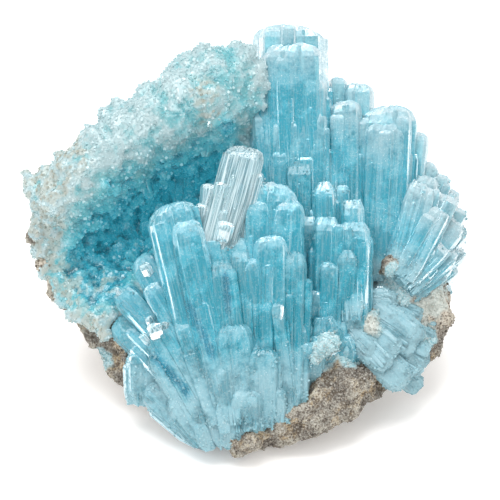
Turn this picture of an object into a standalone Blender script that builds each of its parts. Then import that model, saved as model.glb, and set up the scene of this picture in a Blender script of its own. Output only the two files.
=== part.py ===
"""A hand specimen of blue hemimorphite: a bowl of sandy rock with a sugary crust
in its hollow, and sprays of blunt prisms that stand over it.

Positions are laid out on the specimen's show face, a plane that leans back from
upright. A place on it is (across, up, out) in millimetres: across to the right,
up along the face, and out of the face towards whoever looks at it.
"""

import math

import bmesh
import bpy
from mathutils import Matrix, Vector, noise

MM = 0.001
GAP = 0.32  # clearance between neighbouring solids, millimetres
SKIN_GRAIN = 0.5  # detail that the rough solids keep before they are simplified

# The show face, and the floor under it
FACE_LEAN = math.radians(35)  # how far the face leans back from upright
FACE_HEIGHT = 20.0  # the face's origin above the floor
FACE_UP = Vector((0, math.sin(FACE_LEAN), math.cos(FACE_LEAN)))
FACE_OUT = Vector((0, -math.cos(FACE_LEAN), math.sin(FACE_LEAN)))

# Rock: radius of its outline on the face, every 15 degrees from +across towards +up
ROCK_OUTLINE = (
    31.0, 28.5, 27.0, 26.0, 27.0, 28.5, 28.0, 26.0, 24.0, 25.5, 27.5, 30.5,
    32.3, 31.2, 28.8, 29.0, 28.0, 28.6, 30.4, 30.2, 30.2, 32.0, 33.4, 34.2,
)  # fmt: skip
ROCK_DEPTH = 26.0  # from the outline back to the deepest point of the bowl
ROCK_EDGE = 3.0  # how far the rock's face stands out of its outline
ROCK_BLOCK = 5.0  # size of the blocks that the rock broke into
ROCK_LEDGE = 1.3  # how far one block stands out of the next
ROCK_RUGGED = 1.0
ROCK_TRIANGLES = 1700

# Swells and hollows of the rock's face: across, up, height, reach
SWELLS = (
    (-27.5, 6.0, 5.0, 5.5),
    (-22.0, 13.0, 4.0, 5.0),
    (-14.0, 19.5, 4.0, 5.5),
    (-4.0, 25.0, 3.0, 6.0),
    (-24.0, -10.0, 4.0, 6.0),
    (-22.0, 1.0, -11.0, 5.5),
    (-13.0, 7.0, -12.0, 5.5),
    (-5.0, 12.0, -12.0, 5.5),
    (5.0, 12.0, -9.0, 6.0),
    (14.0, 7.0, -6.0, 7.0),
    (5.0, -29.0, 9.0, 8.0),
    (-13.0, -24.0, 5.0, 8.0),
    (16.0, -22.0, 9.0, 7.5),
    (22.0, -9.0, 4.0, 6.5),
)

# Crust: its centre on the face, and radius of its outline every 15 degrees
CRUST_CENTRE = (-14.0, 8.0)
CRUST_OUTLINE = (
    15.0, 16.0, 18.5, 22.5, 25.6, 22.6, 16.0, 14.6, 14.4, 14.2, 14.4, 16.2,
    18.4, 19.0, 19.6, 20.6, 21.5, 22.0, 20.0, 17.0, 14.0, 13.0, 13.0, 13.5,
)  # fmt: skip
CRUST_THICK = 2.2
CRUST_SINK = 3.0  # how deep the crust's back reaches before the rock trims it
CRUST_LUMP = 4.2  # distance between the crust's lumps
CRUST_LIFT = 1.5  # height of its lumps
CRUST_TRIANGLES = 2150
# Pale domes on the crust: across, up, height, reach
CRUST_DOMES = (
    (-29.0, 9.0, 1.6, 2.8),
    (-24.0, 13.0, 1.8, 2.6),
    (-19.0, 19.0, 2.2, 2.6),
    (-12.5, 22.0, 2.2, 2.0),
    (-9.0, 25.5, 2.4, 2.0),
    (-5.4, 29.0, 2.2, 2.0),
    (-2.5, 28.0, 2.0, 2.0),
    (-4.5, 21.0, 3.0, 3.0),
    (-10.0, 15.5, 1.6, 2.6),
    (-26.5, -4.0, 1.4, 3.0),
    (-20.5, -9.0, 1.6, 3.2),
)

# Crystals. Each row gives a tip and then a foot, as across and up in squares of a
# drawing grid and out in millimetres, and last the crystal's width in squares.
SQUARE = 0.155  # side of a square of the drawing grid, millimetres
FOOT = 0.9  # width of a crystal's foot over its width below the tip
FRONT_SPRAY = (
    (-75, 45, 12.5, -24, -170, 12.5, 46),
    (-59, 28, 15.0, -20, -150, 14.8, 28),
    (-40, 12, 12.8, -8, -170, 14.0, 24),
    (-16, 14, 12.0, -4, -178, 14.5, 38),
    (-24, -10, 14.2, -6, -170, 15.2, 26),
    (-6, 0, 13.6, 2, -175, 15.2, 20),
    (26, 66, 10.5, 24, -170, 12.0, 48),
    (10, 50, 12.0, 14, -170, 13.2, 26),
    (42, 47, 12.2, 38, -160, 13.0, 28),
    (24, 14, 13.8, 24, -168, 13.4, 32),
    (47, -2, 13.6, 45, -158, 12.8, 22),
    (6, -8, 14.2, 16, -172, 13.8, 18),
    (30, -52, 15.4, 42, -152, 14.0, 14),
    (51, -68, 13.4, 50, -148, 12.0, 18),
    (-42, -48, 15.4, -10, -165, 13.8, 20),
    (-14, -72, 15.8, 0, -175, 14.0, 36),
    (16, -95, 16.0, 16, -172, 13.2, 32),
    (0, -134, 16.2, 0, -180, 13.0, 34),
    (-104, -6, 9.5, -24, -145, 12.5, 26),
    (-124, -40, 8.0, -34, -135, 12.0, 26),
    (-94, -34, 11.5, -24, -150, 13.5, 20),
    (-128, -70, 7.0, -44, -150, 11.5, 28),
    (-88, -72, 12.2, -32, -170, 13.6, 34),
    (-62, -66, 13.2, -22, -168, 14.6, 26),
    (-104, -96, 9.5, -102, -152, 7.5, 26),
    (-88, -100, 11.8, -41, -175, 13.2, 26),
    (-70, -138, 13.0, -34, -182, 12.0, 36),
    (-98, -136, 10.0, -44, -180, 11.0, 28),
    (-80, -156, 10.0, -34, -185, 11.0, 24),
    (-39, -148, 14.4, -24, -188, 12.2, 32),
    (-14, -156, 15.0, -12, -192, 12.4, 30),
    (26, -130, 15.0, 24, -166, 12.4, 30),
)
CLEAR_CRYSTALS = (
    (0, 101, 13.0, -30, -12, 12.0, 36),
    (-37, 65, 10.5, -40, 0, 11.0, 14),
    (-43, 46, 11.0, -43, 4, 11.0, 12),
    (-22, 42, 13.8, -32, -8, 13.2, 14),
)
MIDDLE_POINTS = (
    (52, 90, 5.5, 55, -75, 7.5, 28),
    (82, 104, 3.0, 82, -40, 8.0, 16),
    (77, 67, 7.5, 77, -70, 10.0, 22),
    (95, 64, 6.5, 96, -70, 9.5, 14),
    (105, 49, 8.0, 105, -70, 10.5, 22),
    (61, 33, 8.6, 62, -88, 9.0, 14),
    (79, 32, 10.6, 76, -98, 9.5, 24),
    (106, 27, 10.2, 104, -88, 8.0, 30),
    (118, 10, 10.2, 116, -78, 7.6, 9),
    (99, 0, 11.6, 97, -88, 9.0, 20),
    (81, -12, 12.0, 78, -98, 10.0, 18),
    (67, -40, 11.4, 66, -98, 9.6, 16),
    (76, -66, 12.2, 76, -122, 8.0, 36),
    (64, -84, 12.8, 60, -134, 9.0, 30),
    (95, -84, 12.0, 92, -120, 7.0, 32),
)
REAR_COLUMNS = (
    (44, 224, 0.0, 50, 0, 4.0, 42),
    (19, 214, -0.8, 30, 10, 3.5, 26),
    (69, 211, -0.4, 68, 0, 3.8, 26),
    (51, 200, 1.6, 53, 0, 5.0, 38),
    (22, 172, 1.6, 30, 20, 4.8, 26),
    (63, 142, 3.0, 62, 10, 6.0, 34),
    (38, 134, 3.4, 42, 20, 6.0, 30),
    (16, 138, 2.8, 24, 30, 5.4, 20),
    (92, 173, -1.8, 90, -10, 2.5, 17),
    (113, 167, -1.8, 108, -20, 3.0, 29),
    (99, 149, 1.2, 98, -20, 5.0, 29),
    (142, 144, 0.6, 134, -35, 2.4, 52),
    (135, 124, 2.0, 130, -32, 3.6, 34),
    (120, 132, 1.8, 117, -30, 4.0, 16),
    (171, 118, -0.4, 154, -27, 2.0, 24),
    (158, 100, 1.6, 147, -27, 3.4, 20),
)
RIGHT_FAN = (
    (186, 87, -1.0, 154, -25, 3.5, 18),
    (197, 75, -1.0, 158, -28, 3.5, 19),
    (208, 60, -1.0, 160, -32, 3.5, 20),
    (214, 42, -1.0, 162, -36, 3.5, 22),
    (217, 22, -1.0, 162, -40, 3.5, 22),
    (215, 2, -1.0, 162, -42, 3.5, 22),
    (209, -16, -1.0, 162, -46, 3.0, 20),
    (203, -34, -1.2, 164, -50, 2.5, 20),
    (178, 60, 2.0, 154, -25, 5.5, 24),
    (194, 44, 2.2, 158, -30, 5.5, 26),
    (203, 20, 2.2, 160, -36, 5.5, 26),
    (199, -4, 2.2, 160, -40, 5.0, 26),
    (190, -24, 2.0, 158, -46, 5.0, 24),
    (166, 38, 4.2, 150, -25, 7.0, 24),
    (181, 18, 4.6, 154, -30, 7.0, 26),
    (184, -6, 4.6, 154, -36, 7.0, 24),
)
LOWER_RIGHT = (
    (170, -94, 8.5, 122, -64, 6.0, 38),
    (150, -102, 9.8, 112, -72, 7.0, 28),
    (176, -118, 7.0, 126, -85, 5.5, 34),
    (158, -133, 8.5, 120, -95, 7.5, 30),
    (140, -116, 10.6, 110, -85, 8.8, 22),
    (126, -102, 10.8, 104, -80, 9.4, 18),
    (149, -50, 7.0, 126, -50, 6.5, 22),
    (174, -68, 5.0, 139, -55, 5.0, 24),
    (194, -68, 2.5, 154, -56, 3.0, 24),
    (188, -92, 3.0, 149, -72, 3.5, 24),
    (172, -138, 4.5, 134, -102, 5.0, 22),
)


def on_face(across, up, out):
    """A place on the show face as a point in the part's frame, in metres."""
    point = FACE_UP * up + FACE_OUT * out
    return Vector((across, point.y, FACE_HEIGHT + point.z)) * MM


def clear_scene():
    for obj in list(bpy.data.objects):
        bpy.data.objects.remove(obj)


def material(name, colour, roughness, transmission=0.0):
    made = bpy.data.materials.new(name)
    made.use_nodes = True
    shader = made.node_tree.nodes["Principled BSDF"]
    shader.inputs["Base Color"].default_value = (*colour, 1)
    shader.inputs["Roughness"].default_value = roughness
    shader.inputs["Metallic"].default_value = 0.0
    shader.inputs["Transmission Weight"].default_value = transmission
    shader.inputs["IOR"].default_value = 1.62
    return made


def new_object(name, bm, finish=None):
    """An object from a bmesh, in the scene."""
    mesh = bpy.data.meshes.new(name)
    bm.normal_update()
    bm.to_mesh(mesh)
    bm.free()
    obj = bpy.data.objects.new(name, mesh)
    if finish:
        mesh.materials.append(finish)
    bpy.context.scene.collection.objects.link(obj)
    return obj


def apply_modifiers(obj):
    """Puts the evaluated mesh in the place of the object's own."""
    graph = bpy.context.evaluated_depsgraph_get()
    result = bpy.data.meshes.new_from_object(obj.evaluated_get(graph))
    obj.modifiers.clear()
    obj.data = result


def outline_radius(radii, angle):
    """Radius of a closed outline at an angle, eased between its given radii."""
    place = (angle / (2 * math.pi) * len(radii)) % len(radii)
    first = int(place)
    share = place - first
    ease = share * share * (3 - 2 * share)
    return radii[first] * (1 - ease) + radii[(first + 1) % len(radii)] * ease


def swell(features, across, up):
    """Sum of round swells at a place on the face."""
    total = 0.0
    for centre_across, centre_up, height, reach in features:
        span = (across - centre_across) ** 2 + (up - centre_up) ** 2
        total += height * math.exp(-span / (2 * reach * reach))
    return total


def lens(centre, radii, front, back):
    """A closed lens on the show face: a ball whose rim follows an outline, with its
    front and back at front(across, up, rise) and back(across, up, rise)."""
    bm = bmesh.new()
    bmesh.ops.create_icosphere(bm, subdivisions=5, radius=1)
    for vert in bm.verts:
        rise = min(1.0, abs(vert.co.z))
        share = math.acos(rise) / (math.pi / 2)
        angle = math.atan2(vert.co.y, vert.co.x)
        reach = share * outline_radius(radii, angle)
        across = centre[0] + reach * math.cos(angle)
        up = centre[1] + reach * math.sin(angle)
        out = front(across, up, rise) if vert.co.z >= 0 else back(across, up, rise)
        vert.co = on_face(across, up, out)
    return bm


def displace(bm, height):
    """Moves each point along its normal by height(place), all in millimetres."""
    bm.normal_update()
    steps = [(vert, vert.normal * height(vert.co / MM) * MM) for vert in bm.verts]
    for vert, step in steps:
        vert.co += step


def broken_blocks(place):
    """Rock relief: blocks that stand out of one another, and a rugged skin."""
    block = noise.voronoi(place / ROCK_BLOCK)[1][0]
    ledge = noise.cell(block * 7.3) * ROCK_LEDGE
    return ledge + noise.fractal(place / 4.0, 0.9, 2.1, 4) * ROCK_RUGGED


def sugary_lumps(place):
    """Crust relief: domed lumps with a fine uneven skin."""
    near = noise.voronoi(place / CRUST_LUMP + Vector((0.4, 0.1, 0.7)))[0][0]
    dome = CRUST_LIFT * (1 - min(1.0, near) ** 2)
    return dome + noise.fractal(place / 2.0, 0.8, 2.0, 3) * 0.4


def resurface(obj, triangles):
    """Gives a closed mesh one clean outer skin of about this many flat triangles."""
    skin = obj.modifiers.new("skin", "REMESH")
    skin.mode = "VOXEL"
    skin.voxel_size = SKIN_GRAIN * MM
    apply_modifiers(obj)
    fewer = obj.modifiers.new("fewer", "DECIMATE")
    fewer.ratio = triangles / (2 * len(obj.data.polygons))
    apply_modifiers(obj)


def rock_face(across, up):
    return swell(SWELLS, across, up)


def rock_clearance(rock):
    """A copy of the rock grown all round by the gap, to cut its neighbours with."""
    made = bpy.data.objects.new("rock_clearance", rock.data.copy())
    bpy.context.scene.collection.objects.link(made)
    bm = bmesh.new()
    bm.from_mesh(made.data)
    displace(bm, lambda place: GAP + 0.1)
    bm.to_mesh(made.data)
    bm.free()
    resurface(made, ROCK_TRIANGLES)
    return made


def combine(obj, operation, others):
    """Applies one Boolean between obj and several others."""
    group = bpy.data.collections.new(obj.name + "_others")
    for other in others:
        group.objects.link(other)
    cut = obj.modifiers.new("combine", "BOOLEAN")
    cut.operation = operation
    cut.solver = "EXACT"
    cut.operand_type = "COLLECTION"
    cut.collection = group
    apply_modifiers(obj)
    bpy.data.collections.remove(group)


def islands(bm):
    """The connected pieces of a bmesh, as sets of faces."""
    left = set(bm.faces)
    found = []
    while left:
        piece = set()
        front = [left.pop()]
        while front:
            face = front.pop()
            piece.add(face)
            for edge in face.edges:
                for near in edge.link_faces:
                    if near in left:
                        left.remove(near)
                        front.append(near)
        found.append(piece)
    return found


def keep_main_body(obj):
    """Drops the crumbs that a cut leaves beside the largest piece."""
    bm = bmesh.new()
    bm.from_mesh(obj.data)
    bmesh.ops.remove_doubles(bm, verts=bm.verts, dist=0.001 * MM)
    pieces = sorted(islands(bm), key=lambda piece: sum(f.calc_area() for f in piece))
    crumbs = [face for piece in pieces[:-1] for face in piece]
    bmesh.ops.delete(bm, geom=crumbs, context="FACES")
    bm.to_mesh(obj.data)
    bm.free()


def cut_clear(obj, neighbours):
    """Cuts an object clear of its neighbours' clearances, and keeps its main body."""
    for neighbour in neighbours:
        combine(obj, "DIFFERENCE", [neighbour])
    keep_main_body(obj)


def make_floor(top):
    """A slab below a level, in millimetres, to cut things off flat with."""
    bm = bmesh.new()
    bmesh.ops.create_cube(bm, size=100 * MM)
    bmesh.ops.translate(bm, verts=bm.verts, vec=(0, 0, (top - 50) * MM))
    return new_object("floor", bm)


def make_rock(finish):
    """The bowl of rock, cut flat where it rests."""

    def front(across, up, rise):
        return rock_face(across, up) + ROCK_EDGE * (1 - (1 - rise) ** 2)

    def back(across, up, rise):
        return rock_face(across, up) * (1 - rise) - ROCK_DEPTH * rise

    bm = lens((0, 0), ROCK_OUTLINE, front, back)
    displace(bm, broken_blocks)
    rock = new_object("matrix", bm, finish)
    resurface(rock, ROCK_TRIANGLES)
    floor = make_floor(0.0)
    cut_clear(rock, [floor])
    bpy.data.objects.remove(floor)
    return rock


def make_crust(finish, neighbours):
    """The sugary crust that lines the hollow and caps the rim, around whatever
    stands in it."""

    def front(across, up, rise):
        thick = CRUST_THICK * (1 - (1 - rise) ** 2) + swell(CRUST_DOMES, across, up)
        return rock_face(across, up) + ROCK_EDGE + thick * min(1.0, 2.5 * rise)

    def back(across, up, rise):
        return rock_face(across, up) + ROCK_EDGE - CRUST_SINK * min(1.0, 3 * rise)

    bm = lens(CRUST_CENTRE, CRUST_OUTLINE, front, back)
    displace(bm, sugary_lumps)
    crust = new_object("druse_crust", bm, finish)
    resurface(crust, CRUST_TRIANGLES)
    cut_clear(crust, neighbours)
    return crust


def stand(row):
    """A crystal's foot, its axis, and its length, width and thickness, from its row."""
    across, up, out, foot_across, foot_up, foot_out, width = row
    tip = on_face(across * SQUARE, up * SQUARE, out)
    foot = on_face(foot_across * SQUARE, foot_up * SQUARE, foot_out)
    wide = width * SQUARE
    thick = min(0.85 * wide, 2 + 0.35 * wide)
    return foot, (tip - foot).normalized(), (tip - foot).length / MM, wide, thick


def prism(row, grow):
    """One blunt tabular crystal from its row of measures, as a bmesh. A grown one
    is larger all round, to cut its neighbours clear."""
    foot, axis, length, width, thickness = stand(row)
    side = axis.cross(FACE_OUT).normalized()
    front = side.cross(axis)
    bm = bmesh.new()
    bmesh.ops.create_cone(
        bm,
        cap_ends=True,
        segments=6,
        radius1=0.5 * FOOT,
        radius2=0.5,
        depth=1,
        matrix=Matrix.Translation((0, 0, 0.5)),
    )
    broad = [vert for vert in bm.verts if abs(vert.co.y) > 0.1]
    bmesh.ops.scale(bm, verts=broad, vec=(1.4, 1, 1))
    wide = (width + 2 * grow) * MM
    thick = (thickness + 2 * grow) * MM / math.cos(math.pi / 6)
    bevel = min(0.3 * width, 1.7)
    shaft = (length - bevel + 2 * grow) * MM
    bmesh.ops.scale(bm, verts=bm.verts, vec=(wide, thick, shaft))
    top = max(bm.faces, key=lambda face: face.calc_center_median().z)
    found = bmesh.ops.extrude_face_region(bm, geom=[top])["geom"]
    ring = [item for item in found if isinstance(item, bmesh.types.BMVert)]
    bmesh.ops.delete(bm, geom=[top], context="FACES_ONLY")
    middle = Matrix.Translation((0, 0, -shaft))
    bmesh.ops.scale(bm, verts=ring, vec=(0.78, 0.55, 1), space=middle)
    bmesh.ops.translate(bm, verts=ring, vec=(0, 0, bevel * MM))
    turn = Matrix((side, front, axis)).transposed().to_4x4()
    place = Matrix.Translation(foot - axis * grow * MM) @ turn
    bmesh.ops.transform(bm, verts=bm.verts, matrix=place)
    bmesh.ops.recalc_face_normals(bm, faces=bm.faces)
    return bm


def grown_together(name, rows, grow, finish=None):
    """Crystals that overlap, joined in one solid."""
    first, *others = (
        new_object(f"{name}_{number}", prism(row, grow)) for number, row in enumerate(rows)
    )
    combine(first, "UNION", others)
    for other in others:
        bpy.data.objects.remove(other)
    first.name = name
    if finish:
        first.data.materials.append(finish)
    return first


def main():
    clear_scene()
    rock_finish = material("sandy_rock", (0.62, 0.58, 0.50), 0.9)
    crust_finish = material("sugary_druse", (0.66, 0.84, 0.86), 0.35, 0.3)
    blue_finish = material("blue_crystal", (0.30, 0.68, 0.80), 0.2, 0.6)
    clear_finish = material("clear_crystal", (0.82, 0.90, 0.93), 0.1, 0.8)
    rock = make_rock(rock_finish)
    clearances = [make_floor(GAP), rock_clearance(rock)]
    groups = (
        ("front_spray", FRONT_SPRAY, blue_finish),
        ("clear_crystals", CLEAR_CRYSTALS, clear_finish),
        ("middle_points", MIDDLE_POINTS, blue_finish),
        ("rear_columns", REAR_COLUMNS, blue_finish),
        ("right_fan", RIGHT_FAN, blue_finish),
        ("lower_right_crystals", LOWER_RIGHT, blue_finish),
    )
    for name, rows, finish in groups:
        group = grown_together(name, rows, 0.0, finish)
        cut_clear(group, clearances)
        clearances.append(grown_together(name + "_clearance", rows, GAP))
    make_crust(crust_finish, clearances[1:])
    for helper in clearances:
        bpy.data.objects.remove(helper)


main()
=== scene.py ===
"""A hand specimen of blue hemimorphite over its solids: sandy rock, a sugary crust
round a hollow, and sprays of blunt, striated prisms."""

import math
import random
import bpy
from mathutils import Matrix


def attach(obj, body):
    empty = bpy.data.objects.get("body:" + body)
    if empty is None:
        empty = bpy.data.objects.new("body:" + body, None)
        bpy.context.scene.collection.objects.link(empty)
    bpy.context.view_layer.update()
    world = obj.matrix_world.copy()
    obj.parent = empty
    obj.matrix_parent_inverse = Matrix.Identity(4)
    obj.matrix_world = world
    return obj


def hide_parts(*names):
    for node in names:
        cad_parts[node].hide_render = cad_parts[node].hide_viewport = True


bl_info = {
    "name": "Hemimorphite Specimen",
    "version": (1, 0, 0),
    "blender": (4, 5, 0),
    "location": "3D View > Sidebar > Specimen",
    "description": "Finishes a hemimorphite hand specimen over its solids",
    "category": "Object",
}

from typing import NamedTuple

import bmesh
import bpy
from mathutils import Matrix, Vector, noise
from mathutils.bvhtree import BVHTree

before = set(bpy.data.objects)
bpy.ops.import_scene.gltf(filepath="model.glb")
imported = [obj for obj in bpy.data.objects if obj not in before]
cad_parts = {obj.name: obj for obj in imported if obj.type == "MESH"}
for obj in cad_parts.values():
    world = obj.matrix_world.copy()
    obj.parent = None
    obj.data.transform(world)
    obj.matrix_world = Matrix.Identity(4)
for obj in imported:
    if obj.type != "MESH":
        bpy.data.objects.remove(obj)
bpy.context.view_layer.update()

MM = 0.001
BODY = "root"

# The show face leans back from upright. A place on it is (across, up, out) in
# millimetres: across to the right, up along the face, and out towards the viewer.
FACE_LEAN = math.radians(35)
FACE_HEIGHT = 20.0
FACE_UP = Vector((0, math.sin(FACE_LEAN), math.cos(FACE_LEAN)))
FACE_OUT = Vector((0, -math.cos(FACE_LEAN), math.sin(FACE_LEAN)))

# Crystals. Each row gives a tip and then a foot, as across and up in squares of a
# drawing grid and out in millimetres, and last the crystal's width in squares.
SQUARE = 0.155  # side of a square of the drawing grid, millimetres
FAR_OUT = 60  # a height over the show face that is clear of everything, millimetres
FRONT_SPRAY = (
    (-75, 45, 12.5, -24, -170, 12.5, 46),
    (-59, 28, 15.0, -20, -150, 14.8, 28),
    (-40, 12, 12.8, -8, -170, 14.0, 24),
    (-16, 14, 12.0, -4, -178, 14.5, 38),
    (-24, -10, 14.2, -6, -170, 15.2, 26),
    (-6, 0, 13.6, 2, -175, 15.2, 20),
    (26, 66, 10.5, 24, -170, 12.0, 48),
    (10, 50, 12.0, 14, -170, 13.2, 26),
    (42, 47, 12.2, 38, -160, 13.0, 28),
    (24, 14, 13.8, 24, -168, 13.4, 32),
    (47, -2, 13.6, 45, -158, 12.8, 22),
    (6, -8, 14.2, 16, -172, 13.8, 18),
    (30, -52, 15.4, 42, -152, 14.0, 14),
    (51, -68, 13.4, 50, -148, 12.0, 18),
    (-42, -48, 15.4, -10, -165, 13.8, 20),
    (-14, -72, 15.8, 0, -175, 14.0, 36),
    (16, -95, 16.0, 16, -172, 13.2, 32),
    (0, -134, 16.2, 0, -180, 13.0, 34),
    (-104, -6, 9.5, -24, -145, 12.5, 26),
    (-124, -40, 8.0, -34, -135, 12.0, 26),
    (-94, -34, 11.5, -24, -150, 13.5, 20),
    (-128, -70, 7.0, -44, -150, 11.5, 28),
    (-88, -72, 12.2, -32, -170, 13.6, 34),
    (-62, -66, 13.2, -22, -168, 14.6, 26),
    (-104, -96, 9.5, -102, -152, 7.5, 26),
    (-88, -100, 11.8, -41, -175, 13.2, 26),
    (-70, -138, 13.0, -34, -182, 12.0, 36),
    (-98, -136, 10.0, -44, -180, 11.0, 28),
    (-80, -156, 10.0, -34, -185, 11.0, 24),
    (-39, -148, 14.4, -24, -188, 12.2, 32),
    (-14, -156, 15.0, -12, -192, 12.4, 30),
    (26, -130, 15.0, 24, -166, 12.4, 30),
)
CLEAR_CRYSTALS = (
    (0, 101, 13.0, -30, -12, 12.0, 36),
    (-37, 65, 10.5, -40, 0, 11.0, 14),
    (-43, 46, 11.0, -43, 4, 11.0, 12),
    (-22, 42, 13.8, -32, -8, 13.2, 14),
)
MIDDLE_POINTS = (
    (52, 90, 5.5, 55, -75, 7.5, 28),
    (82, 104, 3.0, 82, -40, 8.0, 16),
    (77, 67, 7.5, 77, -70, 10.0, 22),
    (95, 64, 6.5, 96, -70, 9.5, 14),
    (105, 49, 8.0, 105, -70, 10.5, 22),
    (61, 33, 8.6, 62, -88, 9.0, 14),
    (79, 32, 10.6, 76, -98, 9.5, 24),
    (106, 27, 10.2, 104, -88, 8.0, 30),
    (118, 10, 10.2, 116, -78, 7.6, 9),
    (99, 0, 11.6, 97, -88, 9.0, 20),
    (81, -12, 12.0, 78, -98, 10.0, 18),
    (67, -40, 11.4, 66, -98, 9.6, 16),
    (76, -66, 12.2, 76, -122, 8.0, 36),
    (64, -84, 12.8, 60, -134, 9.0, 30),
    (95, -84, 12.0, 92, -120, 7.0, 32),
)
# The first four columns are blocks of several crystals that joined
REAR_COLUMNS = (
    (44, 225, -0.6, 48, 0, 4.0, 66),
    (46, 206, 1.2, 52, 0, 5.0, 60),
    (64, 172, 2.2, 62, 10, 5.6, 30),
    (139, 128, 1.6, 132, -32, 3.6, 44),
    (22, 172, 1.6, 30, 20, 4.8, 26),
    (63, 142, 3.0, 62, 10, 6.0, 34),
    (38, 134, 3.4, 42, 20, 6.0, 30),
    (16, 138, 2.8, 24, 30, 5.4, 20),
    (92, 173, -1.8, 90, -10, 2.5, 17),
    (113, 167, -1.8, 108, -20, 3.0, 29),
    (99, 149, 1.2, 98, -20, 5.0, 29),
    (142, 144, 0.6, 134, -35, 2.4, 52),
    (120, 132, 1.8, 117, -30, 4.0, 16),
    (171, 118, -0.4, 154, -27, 2.0, 24),
    (158, 100, 1.6, 147, -27, 3.4, 20),
)
FAN_BACK = (
    (186, 87, -1.0, 154, -25, 3.5, 18),
    (197, 75, -1.0, 158, -28, 3.5, 19),
    (208, 60, -1.0, 160, -32, 3.5, 20),
    (214, 42, -1.0, 162, -36, 3.5, 22),
    (217, 22, -1.0, 162, -40, 3.5, 22),
    (215, 2, -1.0, 162, -42, 3.5, 22),
    (209, -16, -1.0, 162, -46, 3.0, 20),
    (203, -34, -1.2, 164, -50, 2.5, 20),
)
FAN_MIDDLE = (
    (178, 60, 2.0, 154, -25, 5.5, 24),
    (194, 44, 2.2, 158, -30, 5.5, 26),
    (203, 20, 2.2, 160, -36, 5.5, 26),
    (199, -4, 2.2, 160, -40, 5.0, 26),
    (190, -24, 2.0, 158, -46, 5.0, 24),
)
FAN_FRONT = (
    (166, 38, 4.2, 150, -25, 7.0, 24),
    (181, 18, 4.6, 154, -30, 7.0, 26),
    (184, -6, 4.6, 154, -36, 7.0, 24),
)
LOWER_RIGHT = (
    (170, -94, 8.5, 122, -64, 6.0, 38),
    (150, -102, 9.8, 112, -72, 7.0, 28),
    (176, -118, 7.0, 126, -85, 5.5, 34),
    (158, -133, 8.5, 120, -95, 7.5, 30),
    (140, -116, 10.6, 110, -85, 8.8, 22),
    (126, -102, 10.8, 104, -80, 9.4, 18),
    (149, -50, 7.0, 126, -50, 6.5, 22),
    (174, -68, 5.0, 139, -55, 5.0, 24),
    (194, -68, 2.5, 154, -56, 3.0, 24),
    (188, -92, 3.0, 149, -72, 3.5, 24),
    (172, -138, 4.5, 134, -102, 5.0, 22),
)


def number_property(name, description, default, **extra):
    return bpy.props.FloatProperty(name=name, description=description, default=default, **extra)


def colour_property(name, description, default):
    return bpy.props.FloatVectorProperty(
        name=name, description=description, default=default, subtype="COLOR", size=3, min=0, max=1
    )


class SPECIMEN_PG_stage(bpy.types.PropertyGroup):
    distance: number_property("Distance", "Camera to specimen", 0.6, unit="LENGTH")
    elevation: number_property(
        "Elevation", "Height of the camera above the horizon", FACE_LEAN, subtype="ANGLE"
    )
    view_width: number_property("View width", "Width of the view there", 0.0775, unit="LENGTH")
    key: number_property("Key", "Power of the key light", 5.0)
    front: number_property("Front", "Power of the front light", 0.6)
    fill: number_property("Fill", "Strength of the sky", 0.98)
    floor: colour_property("Floor", "Colour of the floor", (0.94, 0.93, 0.92))


class SPECIMEN_PG_rock(bpy.types.PropertyGroup):
    pale: colour_property("Pale", "Colour of the pale sand", (0.23, 0.215, 0.185))
    tan: colour_property("Tan", "Colour of the stained sand", (0.40, 0.30, 0.17))
    brown: colour_property("Brown", "Colour of the brown grains", (0.14, 0.10, 0.065))
    dark: colour_property("Dark", "Colour of the dark grains", (0.035, 0.03, 0.028))
    grain: number_property("Grain", "Width of a sand grain", 0.00030, unit="LENGTH")


class SPECIMEN_PG_druse(bpy.types.PropertyGroup):
    rim: colour_property("Rim", "Colour of the crust on the rim", (0.45, 0.58, 0.60))
    body: colour_property("Body", "Colour of the crust between", (0.12, 0.46, 0.50))
    # The hollow's deep teal is partly the crust's own colour and partly painted shade
    deep: colour_property("Deep", "Colour of the crust in the hollow", (0.028, 0.29, 0.38))
    grain: number_property("Grain", "Width of a crust crystal", 0.00044, unit="LENGTH")


class SPECIMEN_PG_crystal(bpy.types.PropertyGroup):
    tip: colour_property("Tip", "Colour at the front tips", (0.37, 0.535, 0.585))
    far_tip: colour_property("Far tip", "Colour at the back and right tips", (0.39, 0.455, 0.475))
    body: colour_property("Body", "Colour of the shafts", (0.012, 0.36, 0.48))
    # Painted shade: the deep colour darkens the backs of the crystals and the gaps between shafts
    deep: colour_property("Deep", "Colour between the shafts", (0.004, 0.24, 0.36))
    streak: colour_property("Streak", "Colour of the pale striae", (0.35, 0.60, 0.66))
    glass: colour_property("Glass", "Colour of the light let through", (0.24, 0.70, 0.78))
    roughness: number_property("Roughness", "Roughness of a clean face", 0.22)
    ior: number_property("IOR", "Index of refraction", 1.62)


def on_face(across, up, out):
    """A place on the show face as a point of the frame, in metres."""
    point = FACE_UP * up + FACE_OUT * out
    return Vector((across, point.y, FACE_HEIGHT + point.z)) * MM


def at_square(across, up, out):
    """A place on the show face, with across and up in squares, as a point of the frame."""
    return on_face(across * SQUARE, up * SQUARE, out)


def face_place(point):
    """How far across and up the show face a point of the frame is, in millimetres."""
    local = point / MM - Vector((0, 0, FACE_HEIGHT))
    return local.x, local.dot(FACE_UP)


def smooth(low, high, value):
    """0 below low, 1 above high, and eased between."""
    share = min(1.0, max(0.0, (value - low) / (high - low)))
    return share * share * (3 - 2 * share)


# Node trees

SHEEN = 0.35  # specular level of the crystals


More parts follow.
